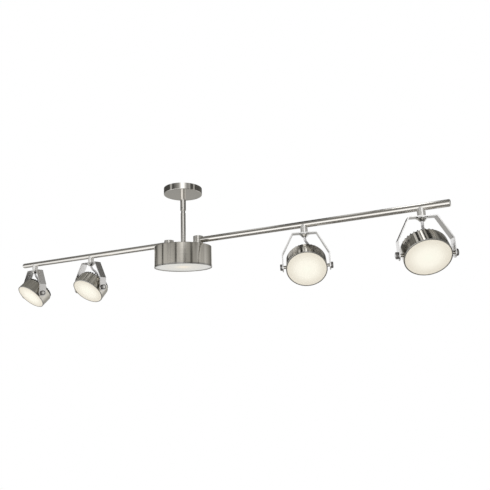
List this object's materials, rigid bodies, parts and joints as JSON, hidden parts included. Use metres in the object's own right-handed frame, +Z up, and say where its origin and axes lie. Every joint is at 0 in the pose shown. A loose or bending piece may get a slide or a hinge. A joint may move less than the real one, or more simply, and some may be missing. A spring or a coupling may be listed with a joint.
{
  "type": "track light fixture",
  "caption": "Ceiling bar light: canopy, stem and round lamp drum, with swinging side bars that carry round spotlight heads which pan and tilt in bent-strap yokes.",
  "frame": {"origin": "centre of the canopy's ceiling face, midway between the two slots of the mounting bracket", "axes": "+X along the bars to the right, +Y towards the back, +Z up into the ceiling"},
  "size_m": [1.5061, 0.176, 0.3381],
  "materials": {
    "brushed_nickel": "brushed satin nickel plate",
    "polished_nickel": "polished nickel plate",
    "edge_nickel": "dark satin nickel",
    "zinc_steel": "zinc plate",
    "black_steel": "black oxide",
    "connector_yellow": "moulded",
    "driver_case": "moulded",
    "nylon_black": "moulded",
    "board_white": "white solder mask on aluminium",
    "drum_diffuser": "frosted acrylic, dimly lit",
    "head_diffuser": "frosted acrylic, lit warm white",
    "lead_sheath": "silver-grey flexible sheath"
  },
  "bodies": {
    "canopy_body": {"canopy": "brushed_nickel", "mounting_bracket": "zinc_steel", "canopy_nipple": "zinc_steel", "canopy_nuts": "zinc_steel", "wire_connectors": "connector_yellow", "stem_sleeve": "brushed_nickel", "stem_set_screw": "black_steel"},
    "drum_body": {"stem_rod": "brushed_nickel", "stem_nut": "zinc_steel", "drum_housing": "brushed_nickel", "drum_bezel": "edge_nickel", "drum_lens": "drum_diffuser", "drum_led_board": "board_white", "drum_standoffs": "zinc_steel", "drum_driver": "driver_case", "post_bushings": "nylon_black"},
    "left_arm": {"left_swivel_post": "brushed_nickel", "left_post_bolt": "zinc_steel", "left_bar": "brushed_nickel", "left_bar_cap": "brushed_nickel", "left_hubs": "brushed_nickel", "left_hub_collars": "polished_nickel"},
    "right_arm": {"right_swivel_post": "brushed_nickel", "right_post_bolt": "zinc_steel", "right_bar": "brushed_nickel", "right_bar_cap": "brushed_nickel", "right_hubs": "brushed_nickel", "right_hub_collars": "polished_nickel"},
    "far_left_yoke_body": {"far_left_yoke": "brushed_nickel", "far_left_lead": "lead_sheath"},
    "far_left_head_body": {"far_left_head_shell": "brushed_nickel", "far_left_head_rim": "edge_nickel", "far_left_head_lens": "head_diffuser", "far_left_led_module": "board_white"},
    "far_left_left_knob_body": {"far_left_left_knob": "polished_nickel"},
    "far_left_right_knob_body": {"far_left_right_knob": "polished_nickel"},
    "near_left_yoke_body": {"near_left_yoke": "brushed_nickel", "near_left_lead": "lead_sheath"},
    "near_left_head_body": {"near_left_head_shell": "brushed_nickel", "near_left_head_rim": "edge_nickel", "near_left_head_lens": "head_diffuser", "near_left_led_module": "board_white"},
    "near_left_left_knob_body": {"near_left_left_knob": "polished_nickel"},
    "near_left_right_knob_body": {"near_left_right_knob": "polished_nickel"},
    "near_right_yoke_body": {"near_right_yoke": "brushed_nickel", "near_right_lead": "lead_sheath"},
    "near_right_head_body": {"near_right_head_shell": "brushed_nickel", "near_right_head_rim": "edge_nickel", "near_right_head_lens": "head_diffuser", "near_right_led_module": "board_white"},
    "near_right_left_knob_body": {"near_right_left_knob": "polished_nickel"},
    "near_right_right_knob_body": {"near_right_right_knob": "polished_nickel"},
    "far_right_yoke_body": {"far_right_yoke": "brushed_nickel", "far_right_lead": "lead_sheath"},
    "far_right_head_body": {"far_right_head_shell": "brushed_nickel", "far_right_head_rim": "edge_nickel", "far_right_head_lens": "head_diffuser", "far_right_led_module": "board_white"},
    "far_right_left_knob_body": {"far_right_left_knob": "polished_nickel"},
    "far_right_right_knob_body": {"far_right_right_knob": "polished_nickel"}
  },
  "joints": [
    {"name": "stem_swivel", "type": "hinge", "parent": "canopy_body", "child": "drum_body", "pos_m": [0, 0, -0.072], "axis": [0, 0, 1], "range_deg": [-170, 170]},
    {"name": "left_arm_swing", "type": "hinge", "parent": "drum_body", "child": "left_arm", "pos_m": [-0.0545, 0, -0.1902], "axis": [0, 0, 1], "range_deg": [-80, 80]},
    {"name": "right_arm_swing", "type": "hinge", "parent": "drum_body", "child": "right_arm", "pos_m": [0.0545, 0, -0.1902], "axis": [0, 0, 1], "range_deg": [-80, 80]},
    {"name": "far_left_pan", "type": "hinge", "parent": "left_arm", "child": "far_left_yoke_body", "pos_m": [-0.684, 0, -0.1977], "axis": [0, 0, 1], "range_deg": [-170, 170]},
    {"name": "far_left_tilt", "type": "hinge", "parent": "far_left_yoke_body", "child": "far_left_head_body", "pos_m": [-0.684, 0, -0.2882], "axis": [0.9877, -0.1564, 0], "range_deg": [-47.5, 42.5], "deforming": ["far_left_lead"]},
    {"name": "far_left_left_knob_turn", "type": "hinge", "parent": "far_left_head_body", "child": "far_left_left_knob_body", "pos_m": [-0.684, 0, -0.2882], "axis": [-0.9877, 0.1564, 0], "range_deg": [0, 180]},
    {"name": "far_left_right_knob_turn", "type": "hinge", "parent": "far_left_head_body", "child": "far_left_right_knob_body", "pos_m": [-0.684, 0, -0.2882], "axis": [0.9877, -0.1564, 0], "range_deg": [0, 180]},
    {"name": "near_left_pan", "type": "hinge", "parent": "left_arm", "child": "near_left_yoke_body", "pos_m": [-0.392, 0, -0.1977], "axis": [0, 0, 1], "range_deg": [-170, 170]},
    {"name": "near_left_tilt", "type": "hinge", "parent": "near_left_yoke_body", "child": "near_left_head_body", "pos_m": [-0.392, 0, -0.2882], "axis": [0.9994, -0.0349, 0], "range_deg": [-49.5, 40.5], "deforming": ["near_left_lead"]},
    {"name": "near_left_left_knob_turn", "type": "hinge", "parent": "near_left_head_body", "child": "near_left_left_knob_body", "pos_m": [-0.392, 0, -0.2882], "axis": [-0.9994, 0.0349, 0], "range_deg": [0, 180]},
    {"name": "near_left_right_knob_turn", "type": "hinge", "parent": "near_left_head_body", "child": "near_left_right_knob_body", "pos_m": [-0.392, 0, -0.2882], "axis": [0.9994, -0.0349, 0], "range_deg": [0, 180]},
    {"name": "near_right_pan", "type": "hinge", "parent": "right_arm", "child": "near_right_yoke_body", "pos_m": [0.392, 0, -0.1977], "axis": [0, 0, 1], "range_deg": [-170, 170]},
    {"name": "near_right_tilt", "type": "hinge", "parent": "near_right_yoke_body", "child": "near_right_head_body", "pos_m": [0.392, 0, -0.2882], "axis": [0.9483, 0.3173, 0], "range_deg": [-41, 49], "deforming": ["near_right_lead"]},
    {"name": "near_right_left_knob_turn", "type": "hinge", "parent": "near_right_head_body", "child": "near_right_left_knob_body", "pos_m": [0.392, 0, -0.2882], "axis": [-0.9483, -0.3173, 0], "range_deg": [0, 180]},
    {"name": "near_right_right_knob_turn", "type": "hinge", "parent": "near_right_head_body", "child": "near_right_right_knob_body", "pos_m": [0.392, 0, -0.2882], "axis": [0.9483, 0.3173, 0], "range_deg": [0, 180]},
    {"name": "far_right_pan", "type": "hinge", "parent": "right_arm", "child": "far_right_yoke_body", "pos_m": [0.684, 0, -0.1977], "axis": [0, 0, 1], "range_deg": [-170, 170]},
    {"name": "far_right_tilt", "type": "hinge", "parent": "far_right_yoke_body", "child": "far_right_head_body", "pos_m": [0.684, 0, -0.2882], "axis": [0.9537, 0.3007, 0], "range_deg": [-47.5, 42.5], "deforming": ["far_right_lead"]},
    {"name": "far_right_left_knob_turn", "type": "hinge", "parent": "far_right_head_body", "child": "far_right_left_knob_body", "pos_m": [0.684, 0, -0.2882], "axis": [-0.9537, -0.3007, 0], "range_deg": [0, 180]},
    {"name": "far_right_right_knob_turn", "type": "hinge", "parent": "far_right_head_body", "child": "far_right_right_knob_body", "pos_m": [0.684, 0, -0.2882], "axis": [0.9537, 0.3007, 0], "range_deg": [0, 180]}
  ]
}
